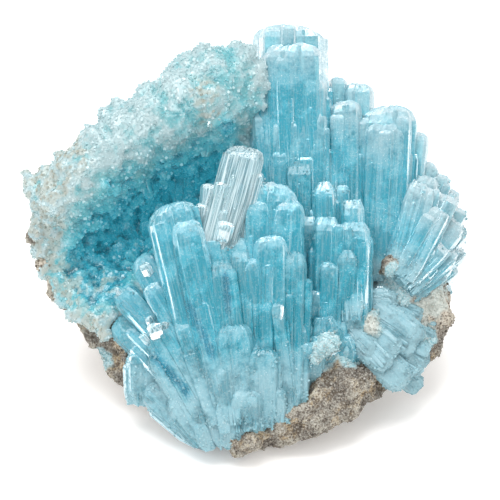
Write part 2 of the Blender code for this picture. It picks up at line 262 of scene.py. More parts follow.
class Socket:
    """A node's output, with arithmetic that adds Math nodes."""

    def __init__(self, tree, link):
        self.tree = tree
        self.link = link

    def other(self, output):
        """Another output of the same node."""
        return Socket(self.tree, self.link.node.outputs[output])

    def math(self, operation, first, second):
        return self.tree.add("ShaderNodeMath", {"operation": operation}, [first, second])

    def __add__(self, other):
        return self.math("ADD", self, other)

    __radd__ = __add__

    def __sub__(self, other):
        return self.math("SUBTRACT", self, other)

    def __rsub__(self, other):
        return self.math("SUBTRACT", other, self)

    def __mul__(self, other):
        return self.math("MULTIPLY", self, other)

    __rmul__ = __mul__

    def step(self, low, high):
        """0 below low, 1 above high, and eased between."""
        return self.tree.add(
            "ShaderNodeMapRange",
            {"interpolation_type": "SMOOTHSTEP"},
            {"Value": self, "From Min": low, "From Max": high},
        )


class Tree:
    """A node tree that is being filled."""

    def __init__(self, tree):
        self.tree = tree

    def add(self, kind, settings=None, inputs=(), output=0):
        """Makes a node with its settings, then its sockets' values or links, and gives
        one of its outputs."""
        node = self.tree.nodes.new(kind)
        for name, value in (settings or {}).items():
            setattr(node, name, value)
        pairs = inputs.items() if isinstance(inputs, dict) else enumerate(inputs)
        for key, value in pairs:
            self.feed(node.inputs[key], value)
        return Socket(self, node.outputs[output]) if node.outputs else None

    def feed(self, socket, value):
        if isinstance(value, Socket):
            self.tree.links.new(value.link, socket)
        else:
            socket.default_value = value

    def attribute(self, name, output="Fac"):
        return self.add("ShaderNodeAttribute", {"attribute_name": name}, output=output)

    def attributes(self, *names):
        return [self.attribute(name) for name in names]

    def scaled(self, vector, factors):
        return self.add("ShaderNodeVectorMath", {"operation": "MULTIPLY"}, [vector, factors])

    def noise(self, place, scale, detail, roughness=0.5):
        """Noise with scale cells to a unit of place."""
        inputs = {"Vector": place, "Scale": scale, "Detail": detail, "Roughness": roughness}
        return self.add("ShaderNodeTexNoise", None, inputs)

    def blend(self, factor, first, second):
        """The second colour over the first by a factor."""
        # The numbers are the places of the sockets that mix colours.
        inputs = {0: factor, 6: first, 7: second}
        return self.add("ShaderNodeMix", {"data_type": "RGBA"}, inputs, output=2)

    def layered(self, colour, layers):
        """A colour with others laid over it, each by its own factor."""
        for factor, other in layers:
            colour = self.blend(factor, colour, opaque(other))
        return colour


class Finish(Tree):
    """A material with one Principled shader."""

    def __init__(self, name, **constants):
        self.material = bpy.data.materials.new(name)
        self.material.use_nodes = True
        super().__init__(self.material.node_tree)
        self.shader = self.tree.nodes["Principled BSDF"]
        for key, value in constants.items():
            self.shader.inputs[key.replace("_", " ")].default_value = value

    def set(self, name, value):
        self.feed(self.shader.inputs[name], value)

    def bump(self, height, distance, strength):
        inputs = {"Height": height, "Distance": distance, "Strength": strength}
        self.set("Normal", self.add("ShaderNodeBump", None, inputs, output="Normal"))

    def glaze(self, colour, share, roughness, ior):
        """Mixes in this share of clear glass of a colour."""
        glass = self.add(
            "ShaderNodeBsdfPrincipled",
            None,
            {
                "Base Color": opaque(colour),
                "Transmission Weight": 1.0,
                "Roughness": roughness,
                "IOR": ior,
                "Specular IOR Level": SHEEN,
            },
        )
        skin = Socket(self, self.shader.outputs["BSDF"])
        mixed = self.add("ShaderNodeMixShader", None, [share, skin, glass])
        self.feed(self.tree.nodes["Material Output"].inputs["Surface"], mixed)


def opaque(colour):
    return (*colour, 1.0)


# Meshes


def add_object(name, data):
    """A new object in the scene."""
    obj = bpy.data.objects.new(name, data)
    bpy.context.scene.collection.objects.link(obj)
    return obj


def new_piece(name, mesh, finish, node):
    """A finished piece that rides on the body, and stands for a CAD node if it has one."""
    piece = add_object(name, mesh)
    mesh.materials.clear()
    mesh.materials.append(finish)
    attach(piece, BODY)
    if node:
        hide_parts(node)


def evaluated(obj):
    """The object's mesh with its modifiers applied."""
    graph = bpy.context.evaluated_depsgraph_get()
    return bpy.data.meshes.new_from_object(obj.evaluated_get(graph))


def as_mesh(name, bm):
    """A mesh from a bmesh, which is freed."""
    mesh = bpy.data.meshes.new(name)
    bm.to_mesh(mesh)
    bm.free()
    return mesh


def ease(bm, rounds):
    """Smooths a bmesh some times over."""
    for _ in range(rounds):
        bmesh.ops.smooth_vert(
            bm, verts=bm.verts, factor=0.5, use_axis_x=True, use_axis_y=True, use_axis_z=True
        )
    bm.normal_update()


def skinned(mesh, detail):
    """A bmesh with the mesh's pieces in one even skin, its edges eased."""
    helper = add_object("helper", mesh)
    skin = helper.modifiers.new("skin", "REMESH")
    skin.mode = "VOXEL"
    skin.voxel_size = detail
    skin.use_smooth_shade = True
    bm = bmesh.new()
    bm.from_mesh(evaluated(helper))
    bpy.data.objects.remove(helper)
    ease(bm, 1)
    return bm


def relief(bm, rounds):
    """How far each vertex stands proud of its surroundings, in millimetres. More rounds
    take in wider surroundings."""
    places = [vert.co.copy() for vert in bm.verts]
    normals = [vert.normal.copy() for vert in bm.verts]
    ease(bm, rounds)
    heights = []
    for vert, place, normal in zip(bm.verts, places, normals):
        heights.append((place - vert.co).dot(normal) / MM)
        vert.co = place
    bm.normal_update()
    return heights


def float_attribute(mesh, name, value):
    """Stores value(point, normal) at each point of a mesh."""
    layer = mesh.attributes.new(name, "FLOAT", "POINT")
    for number, vert in enumerate(mesh.vertices):
        layer.data[number].value = value(vert.co, vert.normal)


def template(name, bm):
    """A small closed mesh to scatter."""
    bmesh.ops.recalc_face_normals(bm, faces=bm.faces)
    return add_object(name, as_mesh(name, bm))


def small_grain(name, width, seed):
    """A rough grain to scatter."""
    bm = bmesh.new()
    bmesh.ops.create_cube(bm, size=0.75 * width)
    rng = random.Random(seed)
    for vert in bm.verts:
        vert.co *= rng.uniform(0.6, 1.25)
    return template(name, bm)


def blunt_crystal(name, width, length):
    """A stubby prism with bevelled edges, to scatter."""
    bm = bmesh.new()
    bmesh.ops.create_cone(
        bm, segments=6, radius1=0.5 * width, radius2=0.45 * width, depth=length, cap_ends=True
    )
    bmesh.ops.scale(bm, verts=bm.verts, vec=(1, 0.7, 1))
    bmesh.ops.bevel(
        bm,
        geom=bm.edges,
        offset=0.16 * width,
        segments=1,
        profile=0.5,
        affect="EDGES",
        material=-1,
    )
    return template(name, bm)


def scatter(mesh, kinds, spacing, cover, size, lean, seed):
    """The mesh with small templates stood over it, as densely as its attribute cover
    says, joined in one mesh. size is their least and greatest scale."""
    host = add_object("host", mesh)
    group = bpy.data.node_groups.new("scatter", "GeometryNodeTree")
    for way in ("INPUT", "OUTPUT"):
        group.interface.new_socket("Geometry", in_out=way, socket_type="NodeSocketGeometry")
    tree = Tree(group)
    floats = {"data_type": "FLOAT"}
    layers = [tree.add("NodeGroupInput")]
    near = tree.add("GeometryNodeInputNamedAttribute", floats, {"Name": cover})

    def random_number(low, high, own_seed):
        # 2 and 3 are the places of the node's sockets for numbers.
        limits = {2: low, 3: high, "Seed": own_seed}
        return tree.add("FunctionNodeRandomValue", floats, limits, output=1)

    for number, kind in enumerate(kinds):
        points = tree.add(
            "GeometryNodeDistributePointsOnFaces",
            {"distribute_method": "POISSON"},
            {
                "Mesh": layers[0],
                "Distance Min": spacing * math.sqrt(len(kinds)),
                "Density Max": 2.0 / (len(kinds) * spacing * spacing),
                "Density Factor": near,
                "Seed": seed + 17 * number,
            },
            output="Points",
        )
        spread = {"Min": (-lean, -lean, -math.pi), "Max": (lean, lean, math.pi)}
        spread["Seed"] = seed + number
        turn = tree.add("FunctionNodeRandomValue", {"data_type": "FLOAT_VECTOR"}, spread)
        turned = tree.add(
            "FunctionNodeRotateRotation",
            {"rotation_space": "LOCAL"},
            {"Rotation": points.other("Rotation"), "Rotate By": turn},
        )
        placed = tree.add(
            "GeometryNodeInstanceOnPoints",
            None,
            {
                "Points": points,
                "Instance": tree.add(
                    "GeometryNodeObjectInfo", None, {"Object": kind}, output="Geometry"
                ),
                "Rotation": turned,
                "Scale": random_number(*size, seed + 31 * number),
            },
        )
        tint = random_number(0.0, 1.0, seed + 5 * number)
        tinted = tree.add(
            "GeometryNodeStoreNamedAttribute",
            {"data_type": "FLOAT", "domain": "INSTANCE"},
            {"Geometry": placed, "Name": "tint", "Value": tint},
        )
        layers.append(tree.add("GeometryNodeRealizeInstances", None, {"Geometry": tinted}))
    join = tree.add("GeometryNodeJoinGeometry")
    for layer in layers:
        tree.feed(join.link.node.inputs[0], layer)
    tree.add("NodeGroupOutput", None, [join])
    host.modifiers.new("scatter", "NODES").node_group = group
    result = evaluated(host)
    for vert in result.vertices:
        vert.co.z = max(vert.co.z, 0.0)
    bpy.data.objects.remove(host)
    bpy.data.node_groups.remove(group)
    for kind in kinds:
        bpy.data.objects.remove(kind)
    return result


# The hollow's floor, as a line on the show face: across and up in millimetres
HOLLOW = ((-23.0, -3.0), (-20.0, 1.5), (-13.0, 7.0), (-5.0, 11.0))
# Round marks on the show face: across, up and reach in millimetres
STAINS = (
    (-32.0, 4.0, 3.2), (-30.5, 10.0, 3.0), (-27.5, 14.5, 2.4), (-21.8, -5.5, 1.4),
    (-24.0, -12.0, 2.5), (-27.5, -6.0, 2.2), (-6.5, 24.0, 1.6), (-5.5, 20.5, 1.2),
    (-30.0, -2.0, 2.0),
)
POCKETS = ((-20.6, 9.8, 1.0), (-3.0, 18.8, 1.5), (-20.0, 1.0, 1.4), (-6.5, 13.0, 1.2))
HAZE = (
    (-5.0, 26.0, 2.6), (-9.5, 20.5, 2.6), (-2.5, 30.0, 1.6), (-15.0, 15.5, 2.0),
    (-23.5, 4.0, 2.6), (1.0, 22.0, 3.0),
)
DRUSE_PATCHES = (
    (23.5, -5.5, 3.0), (19.0, -11.5, 2.2), (11.0, -16.2, 2.0), (16.0, -15.6, 1.8),
    (-22.5, -17.0, 1.6), (12.0, -14.0, 2.2), (29.5, -3.0, 2.6), (28.5, -7.5, 2.4),
    (27.0, -13.0, 2.0), (23.0, -8.5, 2.2),
)
CREAM = ((29.0, -9.0, 3.0), (-29.0, -4.0, 3.0), (18.5, -11.5, 1.6))


def spots(features, point):
    """How near a point is to any of some round marks on the face, 0 to 1."""
    across, up = face_place(point)
    best = 0.0
    for centre_across, centre_up, reach in features:
        span = (across - centre_across) ** 2 + (up - centre_up) ** 2
        best = max(best, math.exp(-span / (2 * reach * reach)))
    return best


def from_line(points, point):
    """Distance over the face from a point to a line through some places."""
    place = Vector(face_place(point))
    best = math.inf
    for start, end in zip(points, points[1:]):
        start = Vector(start)
        way = Vector(end) - start
        share = min(1.0, max(0.0, (place - start).dot(way) / way.length_squared))
        best = min(best, (place - start - way * share).length)
    return best


# Lumps that stand on the solids: across and up in squares, and radius in millimetres
ROCK_LUMPS = (
    (-14, -199, 1.6), (-6, -190, 2.2), (6, -184, 2.4), (19, -177, 2.4), (34, -170, 2.2),
    (49, -160, 2.0), (189, -50, 1.8), (194, -68, 2.0), (186, -88, 2.0), (144, -17, 2.0),
    (134, -24, 1.8), (119, -70, 2.0), (126, -80, 1.6), (79, -92, 2.6), (66, -100, 2.2),
    (-216, 35, 1.8), (-210, 12, 1.8), (-199, -12, 1.8),
)
CRUST_LUMPS = (
    (-8, 192, 2.2), (2, 202, 2.0), (4, 186, 2.4), (6, 170, 2.4), (4, 150, 2.4),
    (2, 130, 2.2), (-1, 112, 2.2), (-40, 203, 1.8), (-62, 182, 1.8), (-97, 155, 2.0),
    (-128, 148, 1.6), (-146, 130, 1.8), (-190, 92, 1.8), (-211, 62, 1.8),
    (-38, 180, 3.0), (-66, 160, 2.8), (-92, 136, 2.8), (-122, 122, 2.6),
    (-148, 104, 2.6), (-172, 82, 2.6), (-190, 50, 2.4), (-152, 62, 2.4),
    (-66, 124, 2.4), (-34, 150, 2.6), (-104, 98, 2.2), (-176, 20, 2.4),
    (-184, -10, 2.2),
)


def faces_of(nodes):
    """A tree of some CAD nodes' faces, to ask what stands where."""
    bm = bmesh.new()
    for node in nodes:
        bm.from_mesh(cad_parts[node].data)
    tree = BVHTree.FromBMesh(bm)
    bm.free()
    return tree


def on_front(tree, across, up):
    """Where a tree's faces come furthest out at a place in squares, or None."""
    return tree.ray_cast(at_square(across, up, FAR_OUT), -FACE_OUT)[0]


def with_lumps(node, lumps, carriers, seed):
    """A copy of a CAD node's mesh with rounded lumps on the show face, each half sunk
    in what stands there."""
    bm = bmesh.new()
    bm.from_mesh(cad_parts[node].data)
    bmesh.ops.remove_doubles(bm, verts=bm.verts, dist=1e-6)
    front = faces_of(carriers)
    rng = random.Random(seed)
    for across, up, radius in lumps:
        hit = on_front(front, across, up)
        if hit is None:
            continue
        place = Matrix.Translation(hit - FACE_OUT * 0.5 * radius * MM)
        lump = bmesh.ops.create_icosphere(bm, subdivisions=2, radius=radius * MM, matrix=place)
        for vert in lump["verts"]:
            vert.co += (vert.co - place.translation) * rng.uniform(-0.15, 0.15)
    return as_mesh(node + "_copy", bm)


# Rock

ROCK_DETAIL = 0.68 * MM  # size of the squares in the rock's skin
ROCK_FOOT = 0.3  # the rock is smooth below this height, millimetres
LIFT = 0.2  # a ray starts this far off its face, millimetres
HEADROOM = 6  # sand shows where nothing stands this near over it, millimetres
ROCK_SUGAR = 0.42 * MM
GRAIN_SIZES = (0.5, 1.6)  # least and greatest scale of a grain
# Painted light on the crests of the sand's relief and painted shade in its pits
LIT_SAND = (0.38, 0.36, 0.30)
CLUMPED_SAND = (0.37, 0.36, 0.32)
GLOOMY_SAND = (0.085, 0.075, 0.065)
PAINTED_SAND_PIT_SHADE = (0.07, 0.055, 0.04)
CREAM_SAND = (0.56, 0.51, 0.43)
PALE_GRAINS = (0.60, 0.58, 0.53)
PALE_SPECKS = (0.58, 0.55, 0.48)
TEAL_FROSTING = (0.27, 0.50, 0.55)
WHITE_FROSTING = (0.48, 0.63, 0.66)
CREAM_FROSTING = (0.54, 0.51, 0.44)
BROWN_FROSTING = (0.30, 0.27, 0.22)


def rugged(place):
    """Height of the rock's relief at a place, both in millimetres."""
    coarse = noise.fractal(place / 3.6, 0.9, 2.1, 4)
    pits = noise.voronoi(place / 1.7)[0][0]
    return 0.9 * coarse - 0.8 * (1 - min(1.0, pits * 1.6)) ** 2


def rock_mesh(grain):
    """The broken rock with sand grains over it, and sugary crystals in its patches."""
    bm = skinned(with_lumps("matrix", ROCK_LUMPS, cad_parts, 5), ROCK_DETAIL)
    for vert in bm.verts:
        if vert.co.z > ROCK_FOOT * MM:
            vert.co += vert.normal * rugged(vert.co / MM) * MM
        vert.co.z = max(0.0, vert.co.z)
    bm.normal_update()
    heights = relief(bm, 12)
    crest = bm.verts.layers.float.new("crest")
    for vert, height in zip(bm.verts, heights):
        vert[crest] = height / 0.25
    mesh = as_mesh("sandy_matrix", bm)

    others = faces_of([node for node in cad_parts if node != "matrix"])

    def sand(point, normal):
        if others.ray_cast(point + normal * LIFT * MM, normal, HEADROOM * MM)[0]:
            return 0.0
        front = smooth(0.0, 0.5, normal.dot(FACE_OUT))
        return (0.15 + 0.85 * front) * smooth(0.2, 0.9, point.z / MM)

    def sugar(point, normal):
        near = spots(DRUSE_PATCHES, point) + 0.25 * noise.noise(point / (1.3 * MM))
        return smooth(0.3, 0.8, near) * smooth(0.0, 0.5, normal.dot(FACE_OUT))

    def cream(point, normal):
        return spots(CREAM, point)

    float_attribute(mesh, "sand", sand)
    float_attribute(mesh, "cream", cream)
    float_attribute(mesh, "sugar", sugar)
    grains = [small_grain(f"sand_grain_{n}", grain, 40 + n) for n in range(2)]
    mesh = scatter(mesh, grains, grain * 1.1, "sand", GRAIN_SIZES, math.pi, 3)
    crystals = [small_grain("sugar_grain", ROCK_SUGAR, 45)]
    return scatter(mesh, crystals, ROCK_SUGAR, "sugar", GRAIN_SIZES, math.pi, 8)


def rock_finish(look):
    """Beige sand with brown stains, dark grains and frosted patches."""
    finish = Finish("Sandy rock")
    place = finish.add("ShaderNodeTexCoord", output="Object")
    tint, sugar, crest, cream = finish.attributes("tint", "sugar", "crest", "cream")
    stain = finish.noise(place, 330.0, 3.0).step(0.46, 0.56)
    gloom = finish.noise(place, 260.0, 4.0).step(0.45, 0.58)
    clumps = finish.noise(place, 1300.0, 2.0)
    specks = finish.noise(place, 3600.0, 2.0)
    frosting = finish.layered(
        opaque(TEAL_FROSTING),
        (
            (specks.step(0.42, 0.60), WHITE_FROSTING),
            (cream.step(0.2, 0.8) * 0.7, CREAM_FROSTING),
            (tint.step(0.84, 0.90) * 0.4, BROWN_FROSTING),
        ),
    )
    colour = finish.layered(
        opaque(look.pale),
        (
            (stain * 0.8, look.tan),
            # painted light on the crests of the relief
            (crest.step(0.1, 1.2) * 0.6, LIT_SAND),
            (clumps.step(0.52, 0.62) * 0.6, CLUMPED_SAND),
            (gloom * 0.75, GLOOMY_SAND),
            # painted shade in the pits of the relief
            ((crest * -1.0).step(0.0, 1.0) * 0.85, PAINTED_SAND_PIT_SHADE),
            (cream.step(0.2, 0.8) * 0.8, CREAM_SAND),
            (tint.step(0.20, 0.40) * 0.3, PALE_GRAINS),
            (tint.step(0.62, 0.80) * 0.5, look.brown),
            (tint.step(0.84, 0.92) * 0.6, look.dark),
            ((1.0 - specks).step(0.54, 0.62) * 0.4, PALE_SPECKS),
            (specks.step(0.52, 0.58) * 0.5, look.brown),
            (specks.step(0.60, 0.66) * 0.8, look.dark),
        ),
    )
    frosted = sugar.step(0.1, 0.6)
    finish.set("Base Color", finish.blend(frosted * 0.9, colour, frosting))
    finish.set("Roughness", 0.8 - 0.6 * frosted)
    finish.bump(finish.noise(place, 2600.0, 3.0), 0.0002, 0.8)
    return finish.material


class SPECIMEN_OT_matrix(bpy.types.Operator):
    """Dress the rock in broken relief and sand grains"""

    bl_idname = "specimen.matrix"
    bl_label = "Matrix"

    def execute(self, context):
        look = context.scene.specimen_rock
        new_piece("sandy_matrix", rock_mesh(look.grain), rock_finish(look), "matrix")
        return {"FINISHED"}


# Crust

CRUST_DETAIL = 0.5 * MM  # size of the squares in the crust's skin
BRIGHT_CRUST = (0.66, 0.82, 0.84)
# Painted glints on a few of the small grains
PAINTED_GRAIN_GLINTS = (0.80, 0.92, 0.93)
GREY_STAIN = (0.47, 0.47, 0.40)
BROWN_STAIN = (0.34, 0.29, 0.20)
# Painted shade for the pits of the crust in the hollow
PAINTED_CRUST_PIT_SHADE = (0.003, 0.12, 0.17)
# Painted highlight on the crests of the crust in the hollow
PAINTED_CREST_HIGHLIGHT = (0.22, 0.54, 0.60)
# Painted glow: the crust's emission stands in for light let through it, with painted shade in its
# pits
RIM_GLOW = (0.15, 0.21, 0.22)
PIT_GLOW = (0.0, 0.03, 0.05)
CRUST_GLASS = (0.74, 0.90, 0.93)
# Blades that stand in the hollow: across and up in squares, lean, width and length
HOLLOW_BLADES = (
    (-80, 56, -0.1, 2.6, 6.0), (-70, 64, 0.0, 3.0, 7.0), (-58, 70, 0.1, 2.8, 7.0),
    (-47, 78, 0.1, 2.6, 7.0), (-36, 86, 0.1, 2.4, 6.0), (-24, 96, 0.15, 2.6, 5.6),
    (-94, 46, -0.2, 2.4, 5.0), (-106, 32, -0.4, 2.2, 4.6), (-116, 14, -0.5, 2.2, 4.4),
    (-122, -6, -0.7, 2.2, 4.0), (-112, -14, -0.5, 1.8, 4.0), (-98, 14, -0.3, 2.0, 4.4),
    (-86, 30, -0.2, 2.2, 5.0), (-64, 48, 0.0, 2.2, 5.0), (-100, 62, -0.3, 2.4, 4.4),
    (-124, 38, -0.6, 2.2, 4.0), (-40, 104, 0.1, 2.4, 4.4), (-16, 114, 0.2, 3.0, 5.0),
    (-30, 130, 0.5, 2.6, 4.4), (-24, 116, 0.6, 2.4, 4.4),
)


def hollow_depth(point, normal):
    """How blue the crust is at a point: 1 deep in the hollow, 0 on the rim."""
    # The deeper blue in the hollow and its pockets is partly the crust's own colour and partly
    # painted shade.
    wander = 2.0 * noise.noise(point / (3.5 * MM))
    depth = 1 - smooth(1.0, 11.0, from_line(HOLLOW, point) + wander)
    return max(depth, 0.8 * spots(POCKETS, point), 0.38 * spots(HAZE, point))


def crust_mesh(grain):
    """The lumpy crust of blunt crystals, with small bright grains over it."""

    def outside(point, normal):
        return smooth(-0.4, 0.2, normal.dot(FACE_OUT))

    base = with_lumps("druse_crust", CRUST_LUMPS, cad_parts, 6)
    float_attribute(base, "cover", outside)
    blocks = [
        blunt_crystal("block_0", 2.8 * MM, 2.4 * MM),
        blunt_crystal("block_1", 1.8 * MM, 2.4 * MM),
    ]
    base = scatter(base, blocks, 1.5 * MM, "cover", (0.5, 1.25), 0.9, 21)
    bm = skinned(base, CRUST_DETAIL)
    for vert in bm.verts:
        place = vert.co / MM
        near = noise.voronoi(place / 1.1)[0][0]
        lump = 0.22 * (0.4 - min(1.0, near) ** 2) + 0.12 * noise.fractal(place / 0.9, 0.8, 2.0, 2)
        vert.co += vert.normal * lump * MM
    bm.normal_update()
    narrow = relief(bm, 4)
    wide = relief(bm, 40)
    crest = bm.verts.layers.float.new("crest")
    for vert, near, far in zip(bm.verts, narrow, wide):
        vert[crest] = near / 0.2 + far / 0.8
    mesh = as_mesh("sugary_crust", bm)

    def stain(point, normal):
        return spots(STAINS, point) * smooth(-0.3, 0.3, noise.noise(point / (0.9 * MM)))

    def sugar(point, normal):
        return 0.4 + 0.6 * smooth(-0.5, 0.1, normal.dot(FACE_OUT))

    float_attribute(mesh, "hollow", hollow_depth)
    float_attribute(mesh, "stain", stain)
    float_attribute(mesh, "sugar", sugar)
    kinds = [small_grain(f"crust_crystal_{n}", grain, 60 + n) for n in range(2)]
    return scatter(mesh, kinds, grain, "sugar", (0.5, 1.3), math.pi, 11)


def crust_finish(look, crystal):
    """Sugary crystals, pale on the rim and deep teal in the hollow."""
    finish = Finish("Sugary druse", IOR=crystal.ior, Emission_Strength=0.5)
    place = finish.add("ShaderNodeTexCoord", output="Object")
    tint, hollow, stain, crest = finish.attributes("tint", "hollow", "stain", "crest")
    drift = finish.noise(place, 260.0, 4.0, 0.6)
    fine = finish.noise(place, 3000.0, 2.0)
    lumpy = finish.noise(place, 800.0, 2.0)
    # shade: the hollow's deeper teal (own colour and painted shade), painted shade in creases,
    # random tone
    shade = hollow + 1.1 * (drift - 0.47) + 0.6 * (lumpy - 0.48) + 0.3 * (fine - 0.5) - 0.15 * crest
    brown = stain.step(0.2, 0.7) * tint.step(0.35, 0.45)
    inside = hollow.step(0.3, 0.7)
    # Painted shade in the pits of the crust in the hollow
    pits = (crest * -1.0).step(0.0, 1.3) * inside
    colour = finish.layered(
        opaque(look.rim),
        (
            (shade.step(0.0, 0.45), look.body),
            (shade.step(0.45, 0.95), look.deep),
            (fine.step(0.54, 0.64) * 0.3, BRIGHT_CRUST),
            # painted glints on a few grains
            (tint.step(0.85, 0.95) * 0.6, PAINTED_GRAIN_GLINTS),
            (stain.step(0.05, 0.5) * 0.75, GREY_STAIN),
            (brown * 0.7, BROWN_STAIN),
            (pits * 0.75, PAINTED_CRUST_PIT_SHADE),
            # painted highlight on the crests in the hollow
            (crest.step(0.4, 1.6) * inside * 0.5, PAINTED_CREST_HIGHLIGHT),
        ),
    )
    finish.set("Base Color", colour)
    # painted glow of the crust: teal in the hollow, with painted shade in its pits
    glow = ((hollow.step(0.1, 0.8), look.deep), (pits * 0.8, PIT_GLOW))
    finish.set("Emission Color", finish.layered(opaque(RIM_GLOW), glow))
    finish.set("Roughness", 0.1 + 0.4 * tint)
    finish.bump(fine, 0.0002, 0.7)
    finish.glaze(CRUST_GLASS, 0.4, 0.08, crystal.ior)
    return finish.material


class SPECIMEN_OT_druse_crust(bpy.types.Operator):
    """Cover the crust with small glassy crystals"""

    bl_idname = "specimen.druse_crust"
    bl_label = "Druse crust"

    def execute(self, context):
        scene = context.scene
        look = scene.specimen_druse
        finish = crust_finish(look, scene.specimen_crystal)
        new_piece("sugary_crust", crust_mesh(look.grain), finish, "druse_crust")
        carriers = ("druse_crust", "matrix")
        mesh = plain_prisms(
            "hollow_prisms", carriers, HOLLOW_BLADES, HOLLOW_LOOK, 0.5, HOLLOW_STRIAE, 8
        )
        float_attribute(mesh, "hollow", hollow_depth)
        new_piece("hollow_prisms", mesh, finish, None)
        return {"FINISHED"}


# Crystals

# Width and height of the striae on different crystals, millimetres
STRIAE = (0.36, 0.05)
PARTNER_STRIAE = (0.4, 0.04)
LATH_STRIAE = (0.3, 0.0)
HOLLOW_STRIAE = (0.4, 0.05)
GLASSY_STRIAE = (1.0, 0.0)
CRYSTAL_SUGAR = 0.30 * MM
SUGAR_SPACING = 0.38 * MM
SUGAR_SIZES = (0.5, 1.5)
GLINTS = (0.80, 0.90, 0.92)
SUGAR_TINT = (0.42, 0.66, 0.71)
# Levels of a crown above its shoulder, and its width and thickness there
BLUNT = ((0.4, 0.95, 0.88), (0.8, 0.82, 0.66), (1.0, 0.55, 0.38))
FLAT = ((0.3, 0.98, 0.92), (0.8, 0.90, 0.74), (1.0, 0.66, 0.46))
ROUND = ((0.35, 0.96, 0.93), (0.7, 0.84, 0.78), (0.92, 0.60, 0.52), (1.0, 0.30, 0.24))
POINTED = ((0.4, 0.86, 0.80), (1.0, 0.42, 0.30))
CHISEL = ((0.5, 0.92, 0.72), (1.0, 0.66, 0.25))


class Look(NamedTuple):
    """How a group's crystals differ."""

    crowns: tuple  # the crowns that one may have
    rise: float  # a crown's height, as a share of the width
    pale_end: float  # length of the pale end, millimetres
    pale_tip: float = 1.0  # how pale the tip is
    pale_all: float = 0.0  # how pale the whole crystal is
    partners: float = 0.0  # partners grown on one, per millimetre of its width
    laths: float = 0.0  # thin laths grown on one, per millimetre of its width
    stray: float = 0.0  # how far these lean from its direction
    sugar: float = 0.0  # how thickly small crystals cover its head


class Blade:
    """One striated prism: where it stands, and its measures in millimetres."""

    def __init__(self, foot, axis, length, width, thickness, turn=0.0):
        self.foot = foot
        self.axis = axis.normalized()
        side = self.axis.cross(FACE_OUT).normalized()
        self.side = Matrix.Rotation(turn, 3, self.axis) @ side
        self.front = self.side.cross(self.axis)
        self.length = length
        self.width = width
        self.thickness = thickness
        self.lead = self  # the crystal whose ends its colours follow
        turned = Matrix((self.side, self.front, self.axis)).transposed().to_4x4()
        self.place = Matrix.Translation(foot) @ turned @ Matrix.Scale(MM, 4)
        self.inverse = self.place.inverted()

    def beside(self, rng, across, ahead, width, thickness, drop, stray):
        """A slimmer blade that grew against this one, with its tip lower by drop."""
        base = self.foot + (self.side * across + self.front * ahead) * MM
        lean = self.side * rng.gauss(0, stray) + self.front * rng.gauss(0, 0.5 * stray)
        length = max(1.5, self.length - drop)
        turn = rng.uniform(-0.15, 0.15)
        partner = Blade(base, self.axis + lean, length, width, thickness, turn)
        partner.lead = self
        return partner


def stand(row):
    """A row's crystal as a blade."""
    tip = at_square(*row[:3])
    foot = at_square(*row[3:6])
    wide = row[6] * SQUARE
    thick = min(0.85 * wide, 2 + 0.35 * wide)
    return Blade(foot, tip - foot, (tip - foot).length / MM, 1.15 * wide, thick)


def longer(row, share):
    """A row with its crystal's length times a share."""
    ends = [foot + (tip - foot) * share for tip, foot in zip(row[:3], row[3:6])]
    return (*ends, *row[3:])


# Painted shadow in the dark gaps between the crystals, as lines on the show face:
# across and up in millimetres
PAINTED_GAP_SHADOWS = (
    ((-8.7, -7.8), (-5.0, -16.3)),
    ((-13.7, -16.3), (-9.2, -21.2)),
    ((-3.2, -4.0), (-2.6, -9.0)),
)


def tablet_edge(angle):
    """Distance from the middle to the edge of a six-sided tablet's outline, in a box
    from -0.5 to 0.5 each way."""
    x = abs(math.cos(angle))
    y = abs(math.sin(angle))
    return 1.0 / max(2 * y, 2 * x + 0.6 * y, 1e-6)


def tone_blade(bm, blade, look, offset):
    """Puts a prism in its place, and stores its own coordinates and how pale, how deep
    in the group and how sugary it is at each vertex. Its tip and foot are pale, and so
    is all that stands low on the show face."""
    own = bm.verts.layers.float_vector.new("own")
    pale, deep, sugar = (bm.verts.layers.float.new(name) for name in ("pale", "deep", "sugar"))
    lead = blade.lead
    end = max(0.5, min(look.pale_end, 0.6 * lead.length))
    for vert in bm.verts:
        vert[own] = vert.co + offset
        vert.co = blade.place @ vert.co
        local = lead.inverse @ vert.co
        tip = smooth(lead.length - end, lead.length, local.z)
        # Painted shadow along the dark gaps between the crystals
        gap_shadow = smooth(1.0, 0.3, min(from_line(slit, vert.co) for slit in PAINTED_GAP_SHADOWS))
        foot = smooth(6.0, 2.0, local.z)
        cap = smooth(lead.length - 0.8, lead.length, local.z)
        low = smooth(-12.0, -20.0, face_place(vert.co)[1])
        light = max(look.pale_tip * tip * (1 - 0.4 * cap), 0.6 * foot, 0.66 * low)
        vert[pale] = (look.pale_all + (1 - look.pale_all) * light) * (1 - gap_shadow)
        # deep is painted shade: the back half of the lead crystal, less near its tip, and the gap
        # shadows
        vert[deep] = smooth(0.35, -0.6, local.y / lead.thickness) * (1 - 0.7 * tip) + gap_shadow
        head = smooth(lead.length - 3.0, lead.length - 1.0, local.z)
        patch = smooth(0.35, 0.6, noise.noise(vert.co / (1.8 * MM)) + 0.5 * look.sugar)
        low = low * smooth(-0.1, 0.2, noise.noise(vert.co / (2.4 * MM)))
        frost = max(look.sugar * max(head, patch), 0.8 * foot, 0.8 * low)
        vert[sugar] = frost * smooth(-0.2, 0.1, local.y / lead.thickness)


